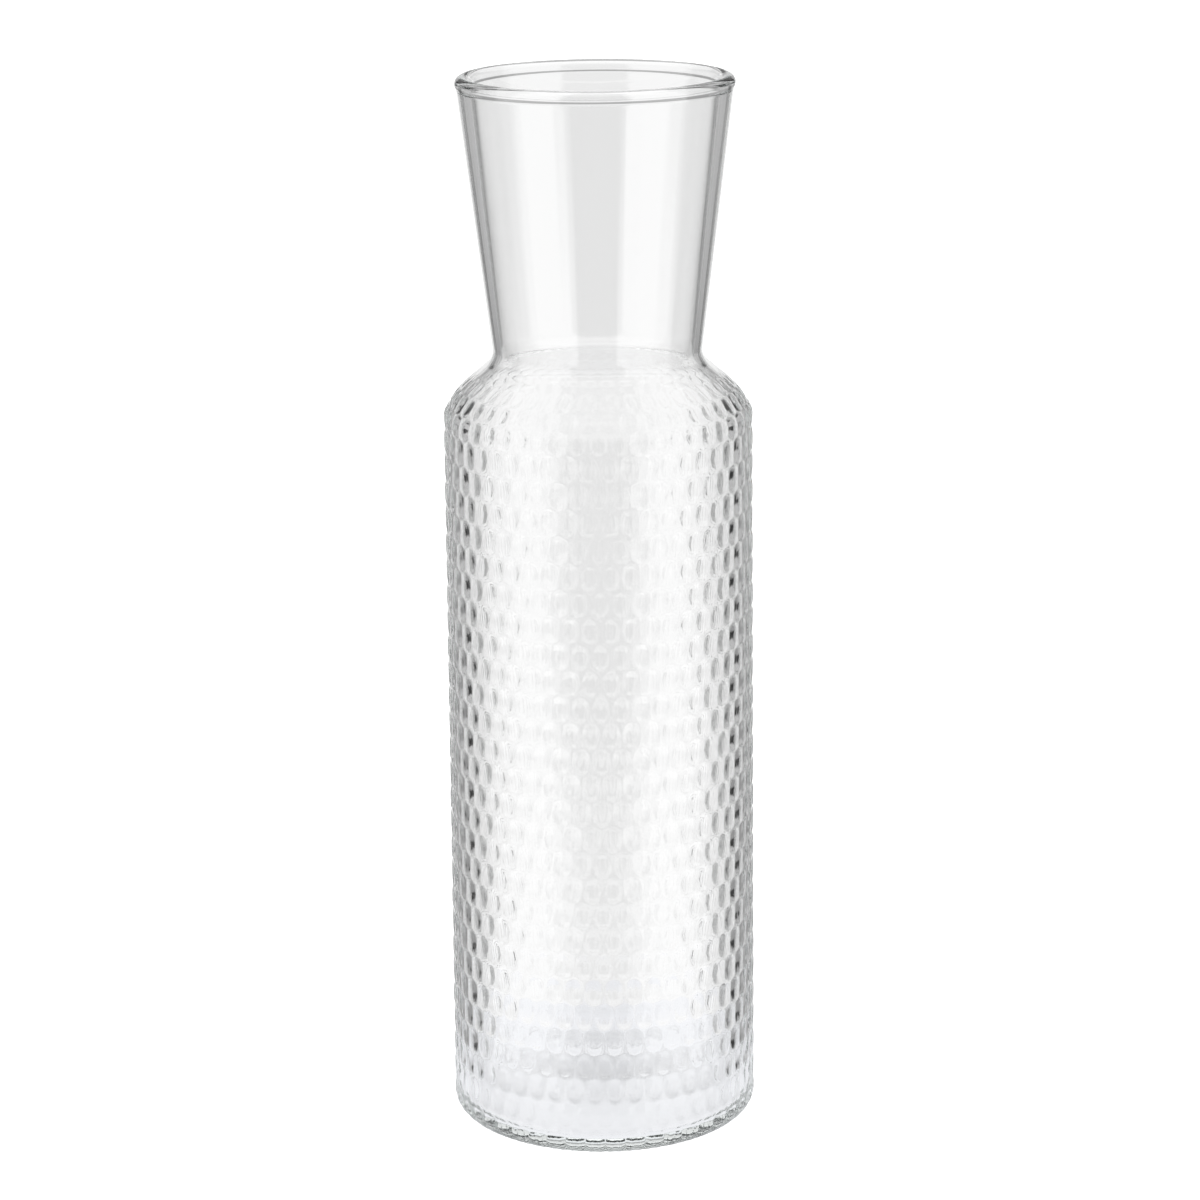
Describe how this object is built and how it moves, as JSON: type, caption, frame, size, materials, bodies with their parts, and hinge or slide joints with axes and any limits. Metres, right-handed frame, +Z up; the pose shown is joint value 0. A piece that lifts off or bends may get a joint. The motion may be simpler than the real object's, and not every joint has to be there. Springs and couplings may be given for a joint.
{
  "type": "water carafe",
  "caption": "Clear glass water carafe with a cylindrical body covered in raised ovals, a sloped shoulder and a smooth neck that widens to a round rim.",
  "frame": {"origin": "middle of the base, on the surface that the carafe stands on", "axes": "+Z up along the axis of the carafe, from the base to the mouth; it is round, so X and Y are free, and a column of ovals lies on each"},
  "size_m": [0.0816, 0.0816, 0.279],
  "materials": {
    "clear_glass": "clear and colourless, fire-polished, with a faint green tint where it is seen edge on"
  },
  "bodies": {
    "root": {"glass_vessel": "clear_glass"}
  },
  "joints": []
}
